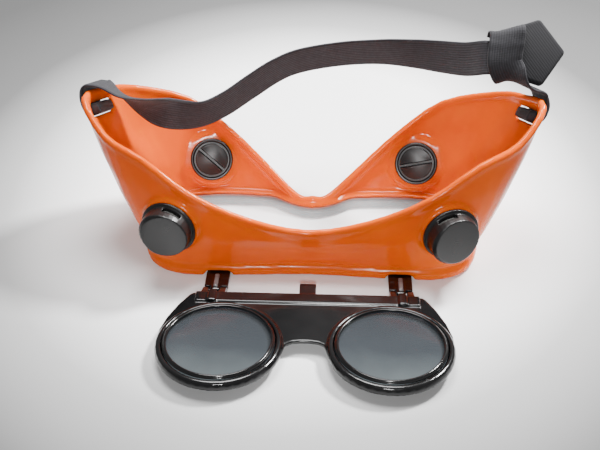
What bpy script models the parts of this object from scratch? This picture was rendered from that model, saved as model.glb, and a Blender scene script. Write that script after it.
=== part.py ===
"""Flip-front welding goggles lying on their front, flip frame folded out flat.

Metres, +Z up. Z = 0 is the plane of the front rim, which rests on the bench; the open
side that meets the face looks up. X is across the face, -Y is the brow side (where the
flip frame is hinged) and +Y is the cheek side with the nose notch. The origin is the
middle of the flat front rim on the brow side.
"""
import bpy
import bmesh
import numpy as np
from math import pi, sin, cos, radians
from mathutils import Matrix, Vector

# ---------------------------------------------------------------- driving sizes
FRONT_WIDTH = 0.165        # soft body across its front rim
FRONT_DEPTH = 0.075        # brow to cheek at the front rim
EAR_SPAN = 0.220           # tip to tip over the strap ears
EAR_HEIGHT = 0.076         # ear tips above the bench
NOSE_HEIGHT = 0.0092       # rim above the bench at the nose notch
GAP = 0.0003               # clearance between touching pieces

WALL = 0.0020              # soft wall thickness
BULGE = 0.0022             # how far the wall bows outward at half height
RIM_BEAD = 0.0020          # radius of the rolled rim
LIP_REACH = 0.0055         # inner lip that holds the front lens, from the outline inward
LIP_THICK = 0.0012
BEAD_OUT = 0.0022          # front bead bulge outside the outline
BEAD_IN = 0.0030           # front bead inside the outline
BEAD_TOP = 0.0053

CARRIER_TOP = 0.0037       # rigid frame that carries the front lens
CARRIER_REACH = 0.0070     # from the outline inward
LENS_THICK = 0.0014

HINGE_X = 0.0441           # middle of each hinge
HINGE_Y = -0.0172          # flip axis
HINGE_Z = 0.0016
KNUCKLE_R = 0.0016
PIN_R = 0.0006
PIN_PLAY = 0.00008         # running clearance round a hinge pin
KNUCKLE_WIDTH = 0.0044     # carrier knuckle along the axis
CLEVIS_WIDTH = 0.0032      # each clevis ear of the flip frame
LUG_NECK = 0.0019          # from the pin to where an ear steps over the folded arm
ARM_TOP = 0.0026           # hinge arm above the bench
ARM_SIDE_GAP = 0.0006      # arm to the sides of its notch in the front bead

LENS_R = 0.0250            # round shade lenses, 50 mm
EYE_X = 0.0376             # half the distance between the lens centres
EYE_RADIUS = 0.0443        # from the flip axis to the lens centres
CUP_WALL = 0.0026
CUP_HEIGHT = 0.0052
CUP_SEAT = 0.0009
SEAT_R = 0.0222            # clear opening behind the lens
SHADE_THICK = 0.0018
COVER_THICK = 0.0007
GASKET_THICK = 0.0003
RING_LIP = 0.0009          # retaining ring above the cup
OPENING_R = 0.0230         # clear opening of the retaining ring
WEB_STEP = 0.0012          # web back face above the cup's back edge
WEB_THICK = 0.0020
BAR_DROP = 0.0067          # from the knuckles to the raised bar
BAR_HEIGHT = 0.0042        # raised bar along the top of the flip frame
BAR_DEPTH = 0.0068
BAR_HALF = 0.0548
ARCH_RISE = 0.0033         # crown of the nose arch above the lens centre line
TAB_WIDTH = 0.0078         # thumb tab on the bar
TAB_REACH = 0.0080

VENT_HOLE_R = 0.0085
VENT_BOSS_R = 0.0142
VENT_SEAT_OUT = 0.0012     # flat vent seat outside the wall
VENT_CAP_R = 0.0122
VENT_CAP_HEIGHT = 0.0100
VENT_PLUG_R = 0.0113
BROW_VENT_SHARE = 0.47     # vent centres, share of the way up the wall
CHEEK_VENT_SHARE = 0.33

STRAP_WIDTH = 0.0165
STRAP_THICK = 0.0015
SLOT_LENGTH = 0.0205
SLOT_HEIGHT = 0.0062
SLOT_DROP = 0.0082         # slot centre below the ear rim
FOLD_RADIUS = 0.0038       # strap centre line round the rolled rim

# The knot and the strap's route are places in shares of half EAR_SPAN, FRONT_DEPTH and
# EAR_HEIGHT. A route row ends with the band's across direction.
KNOT_CENTER = (0.924, 0.686, 1.259)
KNOT_FACE = (0.08, -0.75, 0.62)
KNOT_RADIUS = 0.0172
KNOT_THICK = 0.0060
KNOT_TURN = -92.0          # turn of the pentagon in its own plane, degrees
BAND_TURN = 178.0          # the long run leaves the pentagon's left side
STRAP_ROUTE = [
    (-0.835, 0.663, 0.905, 0.10, 0.85, -0.50),
    (-0.748, 0.730, 0.816, 0.10, 0.50, -0.86),
    (-0.660, 0.810, 0.717, 0.05, 0.00, -1.00),
    (-0.540, 0.916, 0.662, 0.00, -0.20, 0.98),
    (-0.428, 1.023, 0.692, 0.00, -0.20, 0.98),
    (-0.312, 1.130, 0.773, 0.00, -0.20, 0.98),
    (-0.194, 1.210, 0.861, 0.00, -0.25, 0.97),
    (-0.076, 1.276, 0.910, 0.00, -0.28, 0.96),
    (0.117, 1.316, 0.950, 0.00, -0.30, 0.95),
    (0.308, 1.276, 0.988, 0.00, -0.30, 0.95),
    (0.468, 1.156, 1.030, 0.00, -0.15, 0.98),
    (0.588, 0.996, 1.083, 0.00, 0.10, 0.99),
    (0.677, 0.833, 1.143, -0.05, 0.35, 0.93),
]

ROUND = 40                 # segments of a large circle
SMALL_ROUND = 20
PIN_ROUND = 18
COLUMNS_PER_STATION = 3

# Half outline from the middle of the brow round the ear to the middle of the nose notch.
# Front rim: x as a share of half FRONT_WIDTH, y as a share of FRONT_DEPTH.
# Face rim: x as a share of half EAR_SPAN, y as a share of FRONT_DEPTH, height as a share
# of the way from NOSE_HEIGHT to EAR_HEIGHT.
STATIONS = [
    (0.000, 0.000, 0.000, -0.076, 0.266),
    (0.303, -0.018, 0.252, -0.082, 0.356),
    (0.582, -0.034, 0.505, -0.069, 0.551),
    (0.788, -0.018, 0.712, 0.038, 0.760),
    (0.933, 0.096, 0.888, 0.205, 0.835),
    (1.000, 0.358, 1.000, 0.429, 1.000),
    (0.970, 0.624, 0.950, 0.729, 0.915),
    (0.852, 0.838, 0.850, 0.929, 0.828),
    (0.651, 0.898, 0.613, 1.104, 0.641),
    (0.414, 0.898, 0.414, 1.038, 0.416),
    (0.237, 0.878, 0.216, 0.918, 0.147),
    (0.107, 0.784, 0.072, 0.764, 0.000),
    (0.000, 0.744, 0.000, 0.738, 0.000),
]
SLOT_STATION = 5.55
BROW_VENT_STATION = 2.66
CHEEK_VENT_STATION = 8.15

EYE_Y = HINGE_Y - EYE_RADIUS
WALL_FOOT = BEAD_TOP + 0.0011
LENS_LOW = CARRIER_TOP + GAP
LIP_LOW = LENS_LOW + LENS_THICK + GAP
LIP_TOP = LIP_LOW + LIP_THICK
ARM_WIDTH = KNUCKLE_WIDTH + 2 * (GAP + CLEVIS_WIDTH)
CUP_BASE = 2 * HINGE_Z + GAP      # closed, the cups stop one gap in front of the front rim
BAR_EDGE = HINGE_Y - KNUCKLE_R - BAR_DROP


# ---------------------------------------------------------------- scene helpers
def clear_scene():
    for item in list(bpy.data.objects):
        bpy.data.objects.remove(item, do_unlink=True)
    for group in list(bpy.data.collections):
        bpy.data.collections.remove(group)


def new_collection(name):
    group = bpy.data.collections.new(name)
    bpy.context.scene.collection.children.link(group)
    return group


def material(name, color, roughness, metallic=0.0):
    made = bpy.data.materials.new(name)
    made.use_nodes = True
    shader = made.node_tree.nodes["Principled BSDF"]
    shader.inputs["Base Color"].default_value = (*color, 1.0)
    shader.inputs["Roughness"].default_value = roughness
    shader.inputs["Metallic"].default_value = metallic
    return made


def add_object(name, mesh, look, frame=None, group=None):
    item = bpy.data.objects.new(name, mesh)
    (group or PARTS).objects.link(item)
    if look:
        mesh.materials.append(look)
    if frame is not None:
        item.matrix_world = frame
    return item


def finish_mesh(bm, name, smooth_angle=35):
    bmesh.ops.remove_doubles(bm, verts=bm.verts, dist=1e-6)
    bmesh.ops.recalc_face_normals(bm, faces=bm.faces)
    mesh = bpy.data.meshes.new(name)
    bm.to_mesh(mesh)
    bm.free()
    mesh.shade_smooth()
    mesh.set_sharp_from_angle(angle=radians(smooth_angle))
    return mesh


def evaluated_mesh(item, name):
    """The mesh of an object with its modifiers or curve settings applied."""
    depsgraph = bpy.context.evaluated_depsgraph_get()
    mesh = bpy.data.meshes.new_from_object(item.evaluated_get(depsgraph))
    mesh.name = name
    return mesh


def cutter(name, mesh, frame=None):
    item = add_object(name, mesh, None, frame, CUTTERS)
    item.hide_render = True
    item.display_type = 'WIRE'
    return item


def boolean(item, tool, operation='DIFFERENCE'):
    change = item.modifiers.new(tool.name, 'BOOLEAN')
    change.operation = operation
    change.solver = 'EXACT'
    change.object = tool


def loft(name, sections, closed_run, look, group=None):
    """Skin a run of matching closed outlines; an open run gets end caps."""
    bm = bmesh.new()
    rows = [[bm.verts.new(point) for point in section] for section in sections]
    count = len(rows[0])
    pairs = list(zip(rows, rows[1:]))
    if closed_run:
        pairs.append((rows[-1], rows[0]))
    for low, high in pairs:
        for i in range(count):
            j = (i + 1) % count
            bm.faces.new((low[i], low[j], high[j], high[i]))
    if not closed_run:
        bm.faces.new(rows[0])
        bm.faces.new(rows[-1])
    mesh = finish_mesh(bm, name)
    if group is CUTTERS:
        return cutter(name, mesh)
    return add_object(name, mesh, look, None, group)


def plate_mesh(name, outlines, low, high):
    """A flat plate from closed XY outlines; an outline inside another is a hole."""
    curve = bpy.data.curves.new(name, 'CURVE')
    curve.dimensions = '2D'
    curve.fill_mode = 'BOTH'
    curve.extrude = (high - low) / 2
    for outline in outlines:
        spline = curve.splines.new('POLY')
        spline.points.add(len(outline) - 1)
        for point, (x, y) in zip(spline.points, outline):
            point.co = (x, y, 0.0, 1.0)
        spline.use_cyclic_u = True
    holder = bpy.data.objects.new(name, curve)
    bpy.context.scene.collection.objects.link(holder)
    mesh = evaluated_mesh(holder, name)
    bpy.data.objects.remove(holder)
    bm = bmesh.new()
    bm.from_mesh(mesh)
    bmesh.ops.translate(bm, verts=bm.verts, vec=(0, 0, (low + high) / 2))
    bpy.data.meshes.remove(mesh)
    return finish_mesh(bm, name)


def box_mesh(name, size, center=(0, 0, 0)):
    bm = bmesh.new()
    bmesh.ops.create_cube(bm, size=1.0)
    bmesh.ops.scale(bm, verts=bm.verts, vec=size)
    bmesh.ops.translate(bm, verts=bm.verts, vec=center)
    return finish_mesh(bm, name)


def rod_mesh(name, radius, low, high, segments, axis='Z', center=(0, 0, 0)):
    bm = bmesh.new()
    bmesh.ops.create_cone(bm, cap_ends=True, segments=segments, radius1=radius,
                          radius2=radius, depth=high - low)
    bmesh.ops.translate(bm, verts=bm.verts, vec=(0, 0, (low + high) / 2))
    if axis == 'X':
        bmesh.ops.rotate(bm, verts=bm.verts, matrix=Matrix.Rotation(pi / 2, 3, 'Y'))
    bmesh.ops.translate(bm, verts=bm.verts, vec=center)
    return finish_mesh(bm, name)


def turned(name, profile, look, frame=None, steps=ROUND, closed=True, group=None):
    """A Screw-turned solid; the profile lists (radius, height) down its outer side."""
    mesh = bpy.data.meshes.new(name)
    points = [(radius, 0.0, height) for radius, height in profile]
    edges = [(i, i + 1) for i in range(len(points) - 1)]
    if closed:
        edges.append((len(points) - 1, 0))
    mesh.from_pydata(points, edges, [])
    item = add_object(name, mesh, look, frame, group)
    screw = item.modifiers.new('turn', 'SCREW')
    screw.angle = 2 * pi
    screw.steps = steps
    screw.render_steps = steps
    screw.use_merge_vertices = True
    screw.merge_threshold = 0.00001
    screw.use_smooth_shade = True
    return item


# ---------------------------------------------------------------- body surface
def closed_stations():
    right = [np.array(row) for row in STATIONS]
    flip = np.array((-1, 1, -1, 1, 1))
    left = [row * flip for row in right[-2:0:-1]]
    return right + left


LOOP = closed_stations()


def station(u):
    """Smooth closed curve through the stations; u counts stations from the brow."""
    count = len(LOOP)
    base = int(np.floor(u))
    t = u - base
    p0, p1, p2, p3 = (LOOP[(base + k) % count] for k in (-1, 0, 1, 2))
    return 0.5 * (2 * p1 + (p2 - p0) * t + (2 * p0 - 5 * p1 + 4 * p2 - p3) * t ** 2
                  + (3 * p1 - p0 - 3 * p2 + p3) * t ** 3)


def front_point(u):
    row = station(u)
    return Vector((row[0] * FRONT_WIDTH / 2, row[1] * FRONT_DEPTH, 0.0))


def rim_point(u):
    row = station(u)
    height = NOSE_HEIGHT + row[4] * (EAR_HEIGHT - NOSE_HEIGHT)
    return Vector((row[2] * EAR_SPAN / 2, row[3] * FRONT_DEPTH, height))


def front_normal(u):
    run = front_point(u + 0.02) - front_point(u - 0.02)
    return Vector((run.y, -run.x, 0.0)).normalized()


def rim_axes(u):
    """Along the rim, up the wall across it, and outward."""
    along = (rim_point(u + 0.02) - rim_point(u - 0.02)).normalized()
    foot = front_point(u) + Vector((0, 0, WALL_FOOT))
    up = rim_point(u) - foot
    up = (up - up.dot(along) * along).normalized()
    out = along.cross(up).normalized()
    return along, up, out


def wall_point(u, s, offset=0.0):
    """Outer wall surface at share s of the way up, moved outward by offset."""
    foot = front_point(u) + Vector((0, 0, WALL_FOOT))
    top = rim_point(u)
    out = front_normal(u).lerp(rim_axes(u)[2], s).normalized()
    bow = BULGE * min(1.0, (top - foot).length / 0.030) * 4 * s * (1 - s)
    return foot.lerp(top, s) + out * (bow + offset)


def wall_frame(u, s):
    """Matrix whose origin is on the outer wall and whose +Z points outward."""
    origin = wall_point(u, s)
    along = (wall_point(u + 0.05, s) - wall_point(u - 0.05, s)).normalized()
    up = (wall_point(u, s + 0.03) - wall_point(u, s - 0.03)).normalized()
    out = along.cross(up).normalized()
    up = out.cross(along).normalized()
    turn = Matrix((along, up, out)).transposed().to_4x4()
    return Matrix.Translation(origin) @ turn


def inset_outline(inset, count=None):
    count = count or len(LOOP) * COLUMNS_PER_STATION
    step = len(LOOP) / count
    points = [front_point(i * step) - front_normal(i * step) * inset for i in range(count)]
    return [(point.x, point.y) for point in points]


def body_section(u):
    foot = front_point(u)
    normal = front_normal(u)
    along, up, out = rim_axes(u)
    top = rim_point(u)
    rise = (top - foot).length - WALL_FOOT

    def low(offset, height):
        return foot + normal * offset + Vector((0, 0, height))

    bead_round = [(BEAD_OUT * 0.36, 0.0), (BEAD_OUT * 0.82, 0.0009), (BEAD_OUT, 0.0026),
                  (BEAD_OUT * 0.82, 0.0044), (BEAD_OUT * 0.36, BEAD_TOP)]
    points = [low(-BEAD_IN, 0.0)] + [low(o, z) for o, z in bead_round]
    s_top = 1.0 - 1.4 * RIM_BEAD / max(rise, 1.9 * RIM_BEAD)
    points += [wall_point(u, s_top * k) for k in (0.0, 0.25, 0.5, 0.75, 1.0)]
    center = top - out * WALL / 2
    for angle in (-20, 25, 70, 115, 160, 205):
        turn = radians(angle)
        points.append(center + (out * cos(turn) + up * sin(turn)) * RIM_BEAD)
    s_low = (LIP_TOP + 0.0003 - WALL_FOOT) / max(top.z - WALL_FOOT, 0.0028)
    s_top = max(s_top, s_low + 0.01)
    points += [wall_point(u, s_low + (s_top - s_low) * k, -WALL) for k in (1.0, 0.66, 0.33, 0.0)]
    points += [low(-LIP_REACH, LIP_TOP), low(-LIP_REACH, LIP_LOW), low(-BEAD_IN, LIP_LOW)]
    return points


# ---------------------------------------------------------------- soft body
def make_body(look, vents):
    count = len(LOOP) * COLUMNS_PER_STATION
    step = len(LOOP) / count
    body = loft('goggle_body', [body_section(i * step) for i in range(count)], True, look)
    for name, frame, inner in vents:
        boss = rod_mesh(name + '_boss', VENT_BOSS_R, -inner, VENT_SEAT_OUT, 32)
        boolean(body, cutter(name + '_boss', boss, frame), 'UNION')
    for name, frame, inner in vents:
        hole = rod_mesh(name + '_hole', VENT_HOLE_R, -0.02, 0.02, 24)
        boolean(body, cutter(name + '_hole', hole, frame))
    for side, name in ((1, 'right'), (-1, 'left')):
        slot = box_mesh('slot_' + name, (SLOT_LENGTH, SLOT_HEIGHT, 0.02))
        boolean(body, cutter('slot_' + name, slot, slot_frame(side)))
        notch = box_mesh('notch_' + name,
                         (ARM_WIDTH + 2 * ARM_SIDE_GAP, 0.016, 2 * (ARM_TOP + GAP)),
                         (side * HINGE_X, front_brow_y(HINGE_X), 0))
        boolean(body, cutter('notch_' + name, notch))
    return body


def slot_frame(side):
    """Frame in the ear wall, centred on the strap slot."""
    u = SLOT_STATION if side > 0 else len(LOOP) - SLOT_STATION
    top = wall_point(u, 1.0)
    share = 1.0 - SLOT_DROP / (top - wall_point(u, 0.0)).length
    return wall_frame(u, share)


# ---------------------------------------------------------------- front lens and carrier
def make_front_lens(look):
    mesh = plate_mesh('front_lens', [inset_outline(BEAD_IN + GAP)],
                      LENS_LOW, LENS_LOW + LENS_THICK)
    return add_object('front_lens', mesh, look)


def make_carrier(look):
    outer = inset_outline(BEAD_IN + GAP)
    inner = inset_outline(CARRIER_REACH)
    mesh = plate_mesh('lens_carrier', [outer, inner], GAP, CARRIER_TOP)
    carrier = add_object('lens_carrier', mesh, look)
    back = front_brow_y(HINGE_X) + BEAD_IN + 0.0020
    tip = HINGE_Y + KNUCKLE_R + 2 * GAP
    for side, name in ((1, 'right'), (-1, 'left')):
        x = side * HINGE_X
        arm = box_mesh('arm_' + name, (ARM_WIDTH, back - tip, ARM_TOP - GAP),
                       (x, (back + tip) / 2, (ARM_TOP + GAP) / 2))
        neck = box_mesh('neck_' + name, (KNUCKLE_WIDTH, back - HINGE_Y, 0.0020),
                        (x, (back + HINGE_Y) / 2, HINGE_Z - 0.0003))
        rib_back = front_brow_y(HINGE_X) - BEAD_OUT - 0.0010
        rib = box_mesh('rib_' + name, (KNUCKLE_WIDTH * 0.8, rib_back - HINGE_Y, 0.0012),
                       (x, (rib_back + HINGE_Y) / 2, HINGE_Z + KNUCKLE_R - 0.0004))
        knuckle = rod_mesh('knuckle_' + name, KNUCKLE_R, -KNUCKLE_WIDTH / 2,
                           KNUCKLE_WIDTH / 2, SMALL_ROUND, 'X', (x, HINGE_Y, HINGE_Z))
        bore = rod_mesh('bore_' + name, PIN_R + PIN_PLAY, -ARM_WIDTH, ARM_WIDTH, PIN_ROUND, 'X',
                        (x, HINGE_Y, HINGE_Z))
        for label, piece in (('arm_', arm), ('neck_', neck), ('carrier_rib_', rib),
                             ('knuckle_', knuckle)):
            boolean(carrier, cutter(label + name, piece), 'UNION')
        boolean(carrier, cutter('bore_' + name, bore))
    return carrier


def front_brow_y(x):
    """Y of the front outline on the brow side at x."""
    outline = [point for point in inset_outline(0.0, 720) if point[1] < FRONT_DEPTH / 2]
    return min(outline, key=lambda point: abs(point[0] - x))[1]


# ---------------------------------------------------------------- flip frame
def cup_profile():
    """Outer side of an eye cup from its top edge to its rounded back edge."""
    top = LENS_R + GAP + CUP_WALL
    return [(top - CUP_WALL * 0.55, CUP_HEIGHT), (top - 0.0004, CUP_HEIGHT - 0.0006),
            (top, CUP_HEIGHT - 0.0018), (top - 0.0006, CUP_HEIGHT - 0.0032),
            (top - 0.0020, 0.0008), (top - 0.0031, 0.0)]


def flip_outline():
    """Web outline seen from above: straight bar edge, round eyes and a nose arch."""
    skirt = LENS_R + GAP + CUP_WALL + 0.0002
    half = [(BAR_HALF - 0.0014, BAR_EDGE), (BAR_HALF, BAR_EDGE - 0.0012),
            (EYE_X + skirt * 0.77, EYE_Y + skirt * 0.96),
            (EYE_X + skirt * 0.91, EYE_Y + skirt * 0.62),
            (EYE_X + skirt * 0.985, EYE_Y + skirt * 0.32)]
    for turn in np.linspace(radians(8), radians(-172), 22):
        half.append((EYE_X + skirt * cos(turn), EYE_Y + skirt * sin(turn)))
    half += [(8.6 / 28 * skirt, EYE_Y + ARCH_RISE * 0.30), (5.6 / 28 * skirt, EYE_Y + ARCH_RISE * 0.82),
             (2.4 / 28 * skirt, EYE_Y + ARCH_RISE * 0.98)]
    return half + [(0.0, EYE_Y + ARCH_RISE)] + [(-x, y) for x, y in half[::-1]]


def make_flip_frame(look):
    low = CUP_BASE + WEB_STEP
    mesh = plate_mesh('flip_frame', [flip_outline()], low, low + WEB_THICK)
    frame = add_object('flip_frame', mesh, look)
    bar = box_mesh('bar', (2 * BAR_HALF - 0.0060, BAR_DEPTH, BAR_HEIGHT),
                   (0, BAR_EDGE - BAR_DEPTH / 2 - 0.0001, CUP_BASE + BAR_HEIGHT / 2))
    boolean(frame, cutter('bar', bar), 'UNION')
    tab = box_mesh('tab', (TAB_WIDTH, TAB_REACH + 0.0020, 0.0030),
                   (0, BAR_EDGE + TAB_REACH / 2 - 0.0010, CUP_BASE + BAR_HEIGHT - 0.0020))
    boolean(frame, cutter('tab', tab), 'UNION')
    for side, name in ((1, 'right'), (-1, 'left')):
        add_clevis(frame, side, name)
    for side, name in ((1, 'right'), (-1, 'left')):
        add_cup(frame, side, name)
    return frame


def add_clevis(frame, side, name):
    offset = KNUCKLE_WIDTH / 2 + GAP + CLEVIS_WIDTH / 2
    for step, mark in ((-1, 'inner'), (1, 'outer')):
        x = side * HINGE_X + step * offset
        label = 'clevis_' + mark + '_' + name
        boolean(frame, cutter(label, clevis_mesh(label, x)), 'UNION')
    x = side * HINGE_X
    rib = box_mesh('bar_rib_' + name, (KNUCKLE_WIDTH * 0.8, BAR_DEPTH + 0.0014, 0.0014),
                   (x, BAR_EDGE - BAR_DEPTH / 2, CUP_BASE + BAR_HEIGHT + 0.0004))
    boolean(frame, cutter('bar_rib_' + name, rib), 'UNION')
    reach = ARM_WIDTH / 2 + 0.002
    bore = rod_mesh('clevis_bore_' + name, PIN_R + PIN_PLAY, -reach, reach, PIN_ROUND, 'X',
                    (x, HINGE_Y, HINGE_Z))
    boolean(frame, cutter('clevis_bore_' + name, bore))


def clevis_mesh(name, x):
    """A lug that wraps the pin and runs back into the raised bar."""
    outline = []
    for angle in np.linspace(-185, 80, 12):
        turn = radians(angle)
        outline.append((HINGE_Y + KNUCKLE_R * cos(turn), HINGE_Z + KNUCKLE_R * sin(turn)))
    outline.append((HINGE_Y - LUG_NECK, HINGE_Z + 2.2 * KNUCKLE_R))
    outline.append((BAR_EDGE + 0.0010, CUP_BASE + BAR_HEIGHT - 0.0004))
    outline.append((BAR_EDGE - 0.0020, CUP_BASE + BAR_HEIGHT - 0.0004))
    outline.append((BAR_EDGE - 0.0020, CUP_BASE + 0.0003))
    outline.append((HINGE_Y - LUG_NECK, CUP_BASE))
    bm = bmesh.new()
    side_a = [bm.verts.new((x - CLEVIS_WIDTH / 2, y, z)) for y, z in outline]
    face = bm.faces.new(side_a)
    moved = bmesh.ops.extrude_face_region(bm, geom=[face])['geom']
    verts = [item for item in moved if isinstance(item, bmesh.types.BMVert)]
    bmesh.ops.translate(bm, verts=verts, vec=(CLEVIS_WIDTH, 0, 0))
    return finish_mesh(bm, name)


def eye_frame(side):
    return Matrix.Translation((side * EYE_X, EYE_Y, CUP_BASE))


def add_cup(frame, side, name):
    place = eye_frame(side)
    profile = [(0.0, CUP_HEIGHT)] + cup_profile() + [(0.0, 0.0)]
    body = turned('cup_' + name, profile, None, place, ROUND, False, CUTTERS)
    body.hide_render = True
    body.display_type = 'WIRE'
    boolean(frame, body, 'UNION')
    deep = 0.0020
    recess = [(0.0, CUP_HEIGHT + deep), (LENS_R + GAP, CUP_HEIGHT + deep), (LENS_R + GAP, CUP_SEAT),
              (SEAT_R, CUP_SEAT), (SEAT_R, -deep), (0.0, -deep)]
    well = turned('well_' + name, recess, None, place, ROUND, False, CUTTERS)
    well.hide_render = True
    well.display_type = 'WIRE'
    boolean(frame, well)


def make_eye(side, name, looks):
    """Gasket, shade lens, cover lens and retaining ring stacked in one eye cup."""
    place = eye_frame(side)
    low = CUP_SEAT + GAP
    ring = [(SEAT_R + 0.0002, low + GASKET_THICK), (LENS_R - GAP, low + GASKET_THICK),
            (LENS_R - GAP, low), (SEAT_R + 0.0002, low)]
    turned('eye_gasket_' + name, ring, looks['rubber'], place, ROUND)
    low += GASKET_THICK + GAP
    shade = rod_mesh('shade_lens_' + name, LENS_R - GAP, low, low + SHADE_THICK, ROUND)
    add_object('shade_lens_' + name, shade, looks['dark_glass'], place)
    low += SHADE_THICK + GAP
    cover = rod_mesh('cover_lens_' + name, LENS_R - GAP, low, low + COVER_THICK, ROUND)
    add_object('cover_lens_' + name, cover, looks['clear'], place)
    low += COVER_THICK + GAP
    lip = CUP_HEIGHT + RING_LIP
    profile = [(OPENING_R + 0.0002, lip - 0.0005), (OPENING_R + 0.0009, lip),
               (LENS_R - 0.0009, lip), (LENS_R - GAP, lip - 0.0006), (LENS_R - GAP, low),
               (OPENING_R, low)]
    item = turned('retaining_ring_' + name, profile, looks['black'], place, ROUND)
    for k in range(2):
        turn = radians(60 + 180 * k)
        notch = box_mesh('grip_' + name + str(k), (0.0030, 0.0018, 0.0012),
                         ((LENS_R - 0.0008) * cos(turn), (LENS_R - 0.0008) * sin(turn), lip))
        boolean(item, cutter('grip_' + name + str(k), notch, place))


def make_hinge_pin(side, name, look):
    reach = ARM_WIDTH / 2 - 0.0002
    mesh = rod_mesh('hinge_pin_' + name, PIN_R, -reach, reach, PIN_ROUND, 'X')
    add_object('hinge_pin_' + name, mesh, look,
               Matrix.Translation((side * HINGE_X, HINGE_Y, HINGE_Z)))


# ---------------------------------------------------------------- vents
def vent_places():
    """Name, wall frame and inner seat depth of the four vents."""
    count = len(LOOP)
    places = []
    for label, u, share, inner in (('brow', BROW_VENT_STATION, BROW_VENT_SHARE, WALL + 0.0030),
                                   ('cheek', CHEEK_VENT_STATION, CHEEK_VENT_SHARE, WALL + 0.0024)):
        places.append((label + '_vent_right', wall_frame(u, share), inner))
        places.append((label + '_vent_left', wall_frame(count - u, share), inner))
    return places


def make_vent(name, frame, inner, looks):
    base = VENT_SEAT_OUT + GAP
    top = VENT_SEAT_OUT + VENT_CAP_HEIGHT
    flange = VENT_CAP_R + 0.0014
    ceiling = base + 0.0056
    profile = [(0.0, top), (VENT_CAP_R - 0.0018, top), (VENT_CAP_R - 0.0003, top - 0.0012),
               (VENT_CAP_R, base + 0.0018), (flange, base + 0.0014), (flange, base),
               (VENT_HOLE_R + 0.0006, base), (VENT_HOLE_R + 0.0006, base + 0.0014),
               (VENT_CAP_R - 0.0014, base + 0.0014), (VENT_CAP_R - 0.0014, ceiling),
               (0.0, ceiling)]
    cap = turned(name + '_cap', profile, looks['black'], frame, 32, False)
    slant = box_mesh(name + '_slant', (0.04, 0.04, 0.01), (0, 0, 0.005))
    tilt = frame @ Matrix.Translation((0, 0, top - 0.0013)) @ Matrix.Rotation(radians(9), 4, 'Y')
    boolean(cap, cutter(name + '_slant', slant, tilt))
    window = box_mesh(name + '_window', (0.0090, 0.0080, 0.0026),
                      (0, VENT_CAP_R + 0.0010, base + 0.0034))
    boolean(cap, cutter(name + '_window', window, frame))

    seat = -inner - GAP
    face = seat - 0.0024
    stem = VENT_HOLE_R - 0.0004
    shaft_top = base + 0.0018
    plug = [(0.0, seat + 0.0002), (stem - 0.0012, seat + 0.0002), (stem - 0.0012, shaft_top),
            (stem, shaft_top), (stem, seat), (VENT_PLUG_R, seat),
            (VENT_PLUG_R, face + 0.0005), (VENT_PLUG_R - 0.0005, face),
            (VENT_PLUG_R - 0.0024, face), (VENT_PLUG_R - 0.0030, face + 0.0011),
            (0.0, face + 0.0011)]
    item = turned(name + '_plug', plug, looks['black'], frame, 32, False)
    slot = box_mesh(name + '_coin', (0.0130, 0.0018, 0.0012), (0, 0, face + 0.0010))
    boolean(item, cutter(name + '_coin', slot, frame))
    filt = rod_mesh(name + '_filter', VENT_CAP_R - 0.0014 - GAP, shaft_top + 0.0004,
                    ceiling - GAP, 24)
    add_object(name + '_filter', filt, looks['foam'], frame)


# ---------------------------------------------------------------- strap
def smooth_path(points, per_span):
    rows = [np.array(point) for point in points]
    rows = [2 * rows[0] - rows[1]] + rows + [2 * rows[-1] - rows[-2]]
    out = []
    for i in range(1, len(rows) - 2):
        p0, p1, p2, p3 = rows[i - 1:i + 3]
        for k in range(per_span):
            t = k / per_span
            out.append(0.5 * (2 * p1 + (p2 - p0) * t + (2 * p0 - 5 * p1 + 4 * p2 - p3) * t ** 2
                              + (3 * p1 - p0 - 3 * p2 + p3) * t ** 3))
    out.append(rows[-2])
    return out


def ribbon_sections(centers, widths, width, thick):
    """Four-cornered sections along a centre line; widths are the across directions."""
    sections = []
    last = len(centers) - 1
    for i, (center, across) in enumerate(zip(centers, widths)):
        run = Vector(centers[min(i + 1, last)] - centers[max(i - 1, 0)]).normalized()
        across = Vector(across)
        across = (across - across.dot(run) * run).normalized() * (width / 2)
        face = across.cross(run).normalized() * (thick / 2)
        center = Vector(center)
        sections.append([center + across + face, center - across + face,
                         center - across - face, center + across - face])
    return sections


def ear_local(side, out, up, across=0.0):
    """World point from a place in the ear frame, right-hand sense mirrored to each side."""
    return slot_frame(side) @ Vector((across, up, out))


def strap_point(x_share, y_share, z_share):
    return np.array((x_share * EAR_SPAN / 2, y_share * FRONT_DEPTH, z_share * EAR_HEIGHT))


def ear_fold(side):
    """Strap run from inside the ear wall down, out through the slot and up outside it."""
    high = SLOT_DROP - 0.0012
    inner = [(-0.0054, high), (-0.0052, 0.0034), (-0.0040, 0.0000)]
    outer = [(-0.0010, -0.0013), (0.0022, 0.0000), (0.0032, 0.0034), (0.0032, high)]
    return [np.array(ear_local(side, out, up)) for out, up in inner + outer]


def ear_over(side):
    """Strap run from outside the ear, over its rolled rim and inward."""
    turn = FOLD_RADIUS
    arc = [(turn * cos(angle) - WALL / 2, SLOT_DROP + turn * sin(angle))
           for angle in (radians(35), radians(75), radians(115))]
    arc.append((-0.0090, SLOT_DROP + turn * 0.70))
    return [np.array(ear_local(side, out, up)) for out, up in arc]


def same_sense(widths):
    """Across directions with their signs matched from one row to the next."""
    out = [widths[0]]
    for width in widths[1:]:
        out.append(width if np.dot(width, out[-1]) > 0 else -width)
    return out


def knot_axes():
    face = Vector(KNOT_FACE).normalized()
    right = Vector((0, 0, 1)).cross(face).normalized()
    return right, face.cross(right).normalized(), face


def knot_place(right_shift, up_shift):
    right, up, _ = knot_axes()
    center = Vector(strap_point(*KNOT_CENTER))
    return np.array(center + right * right_shift + up * up_shift)


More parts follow.
